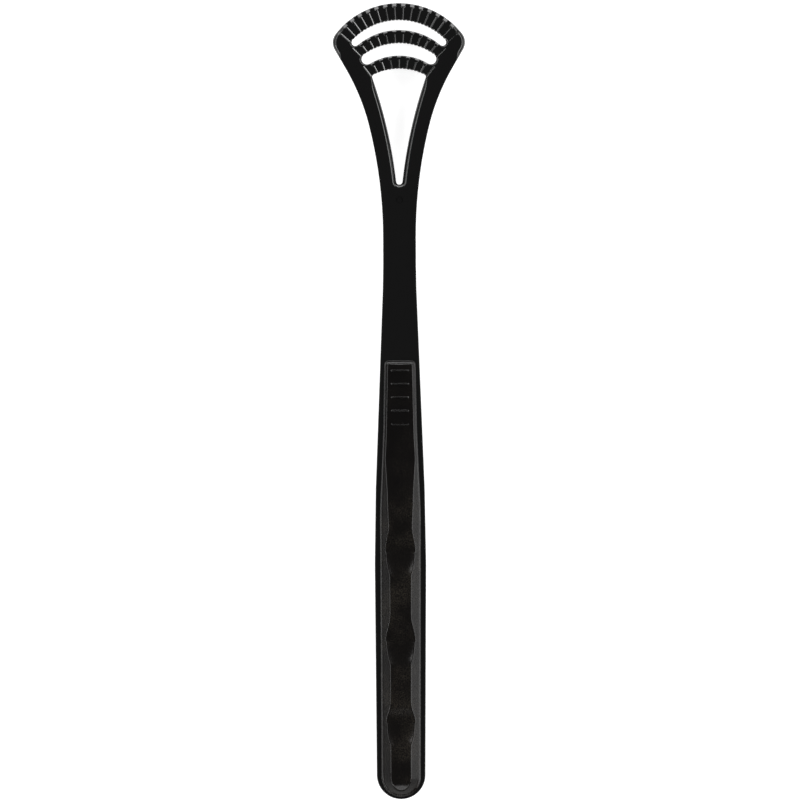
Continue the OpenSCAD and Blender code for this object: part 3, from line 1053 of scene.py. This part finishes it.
def pale_floor(colours):
    """White card: matte, shown near white, with the tool's shadow left on it. Clear from below."""
    material, tree, shader, _ = surface("pale_floor")
    shader.inputs["Base Color"].default_value = (*colours.floor, 1)
    shader.inputs["Roughness"].default_value = 0.9
    shader.inputs["Specular IOR Level"].default_value = 0.1
    shader.inputs["Emission Color"].default_value = (1, 1, 1, 1)
    seen = shown_background(tree)
    glow = add(tree, "ShaderNodeMath", {"operation": "MULTIPLY"}, _0=seen, _1=FLOOR_GLOW)
    tree.links.new(glow[0], shader.inputs["Emission Strength"])
    side = add(tree, "ShaderNodeNewGeometry")["Backfacing"]
    clear = add(tree, "ShaderNodeBsdfTransparent")
    mixed = add(tree, "ShaderNodeMixShader", _0=side, _1=shader.outputs[0], _2=clear[0])
    tree.links.new(mixed[0], tree.nodes["Material Output"].inputs["Surface"])
    return material


# The stage

# The camera's view: width that it takes in at the moulding's top face and place along the tool that it
# looks at, in millimetres, and turn in degrees
SEEN_WIDTH = 190.9
AIM = 0.25
TURN = -0.18

# Softboxes: name, direction from +X and elevation in degrees, width and height in metres, radiance.
# From above, left_strip shows in the left grooves and left_side in most others, left_panel on the
# window's right edge and right_panel on its left edge, right_low on the grip's right slope, head_strip
# in the front edge's mouths and on the grip's upper end, and butt_strip on its lower end
SOFTBOXES = (
    ("left_strip", 215, 25, 1.5, 0.2, 14),
    ("left_side", 151, 25, 2.5, 0.2, 3.6),
    ("left_panel", 162, 48, 1.3, 0.5, 4.5),
    ("right_panel", 8, 40, 2.4, 0.7, 5.8),
    ("right_low", 0, 8, 0.9, 0.3, 2.4),
    ("head_strip", 90, 14, 3.4, 0.5, 6),
    ("butt_strip", 270, 38, 1.6, 0.3, 4),
)
LAMP_DISTANCE = 1.7

# Grey of the studio around the lamps, and size of the floor in metres
STUDIO = 0.03
FLOOR_SIZE = 40


def camera():
    """A long lens straight above the tool, turned a little, as in the photograph."""
    data = bpy.data.cameras.new("camera")
    data.lens = 300
    data.sensor_width = 36
    data.clip_start = 0.05
    data.clip_end = 50
    distance = SEEN_WIDTH * MM * data.lens / data.sensor_width
    view = bpy.data.objects.new("camera", data)
    view.location = (0, AIM * MM, FRAME_HIGH.z + distance)
    view.rotation_euler = (0, 0, math.radians(TURN))
    bpy.context.scene.collection.objects.link(view)
    bpy.context.scene.camera = view


def softbox(name, heading, elevation, width, height, radiance):
    """A rectangular lamp that faces the tool's middle."""
    data = bpy.data.lights.new(name, "AREA")
    data.shape = "RECTANGLE"
    data.size, data.size_y = width, height
    data.energy = radiance * math.pi * width * height
    lamp = bpy.data.objects.new(name, data)
    flat, rise = polar(LAMP_DISTANCE, heading), polar(1, elevation)
    place = Vector((flat.x * rise.x, flat.y * rise.x, LAMP_DISTANCE * rise.y))
    lamp.location = place
    lamp.rotation_euler = (-place).to_track_quat("-Z", "Y").to_euler()
    bpy.context.scene.collection.objects.link(lamp)


def stage(colours):
    """The floor, the camera, the lamps and the dim studio around them."""
    rest()
    bpy.ops.mesh.primitive_plane_add(size=FLOOR_SIZE)
    floor = bpy.context.object
    floor.name = "floor"
    floor.data.materials.append(pale_floor(colours))
    camera()
    for each in SOFTBOXES:
        softbox(*each)
    scene = bpy.context.scene
    world = bpy.data.worlds.new("studio")
    world.use_nodes = True
    background = world.node_tree.nodes["Background"]
    background.inputs["Color"].default_value = (STUDIO, STUDIO, STUDIO, 1)
    scene.world = world
    scene.view_settings.view_transform = "Standard"


# Operators, panel and registration


class SCRAPER_OT_frame(bpy.types.Operator):
    """Model the glossy moulding with its rippled bars, window, neck and handle"""

    bl_idname = "scraper.frame"
    bl_label = "Frame moulding"

    def execute(self, context):
        plan = Plan(context.scene.scraper_sizes)
        material = gloss_black_polypropylene(context.scene.scraper_colours)
        finish(frame_moulding(plan), plan, "frame", material, degrees=27)
        return {"FINISHED"}


class SCRAPER_OT_front_grip(bpy.types.Operator):
    """Model the soft front grip with its finger hollows and ribs"""

    bl_idname = "scraper.front_grip"
    bl_label = "Front grip"

    def execute(self, context):
        plan = Plan(context.scene.scraper_sizes)
        material = fine_grained_elastomer(context.scene.scraper_colours)
        finish(front_grip(plan), plan, "front_grip", material, degrees=60)
        return {"FINISHED"}


class SCRAPER_OT_rear_grip(bpy.types.Operator):
    """Model the soft rear grip with its cross grooves"""

    bl_idname = "scraper.rear_grip"
    bl_label = "Rear grip"

    def execute(self, context):
        plan = Plan(context.scene.scraper_sizes)
        material = fine_grained_elastomer(context.scene.scraper_colours)
        finish(rear_grip(plan), plan, "rear_grip", material, degrees=35)
        return {"FINISHED"}


class SCRAPER_OT_stage(bpy.types.Operator):
    """Add the pale floor, the soft lamps and the camera"""

    bl_idname = "scraper.stage"
    bl_label = "Stage"

    def execute(self, context):
        stage(context.scene.scraper_colours)
        return {"FINISHED"}


class SCRAPER_PT_panel(bpy.types.Panel):
    """Sizes, colours and steps of the tongue scraper"""

    bl_idname = "SCRAPER_PT_panel"
    bl_label = "Tongue scraper"
    bl_space_type = "VIEW_3D"
    bl_region_type = "UI"
    bl_category = "Scraper"

    def draw(self, context):
        for group in (context.scene.scraper_sizes, context.scene.scraper_colours):
            for name in group.__annotations__:
                self.layout.prop(group, name)
        for step in STEPS:
            self.layout.operator(step.bl_idname)


STEPS = (SCRAPER_OT_frame, SCRAPER_OT_front_grip, SCRAPER_OT_rear_grip, SCRAPER_OT_stage)
CLASSES = (ScraperSizes, ScraperColours, *STEPS, SCRAPER_PT_panel)


def register():
    for each in CLASSES:
        bpy.utils.register_class(each)
    bpy.types.Scene.scraper_sizes = PointerProperty(type=ScraperSizes)
    bpy.types.Scene.scraper_colours = PointerProperty(type=ScraperColours)


def unregister():
    del bpy.types.Scene.scraper_colours
    del bpy.types.Scene.scraper_sizes
    for each in reversed(CLASSES):
        bpy.utils.unregister_class(each)


def main():
    register()
    bpy.ops.scraper.frame()
    bpy.ops.scraper.front_grip()
    bpy.ops.scraper.rear_grip()
    bpy.ops.scraper.stage()


if __name__ == "__main__":
    main()
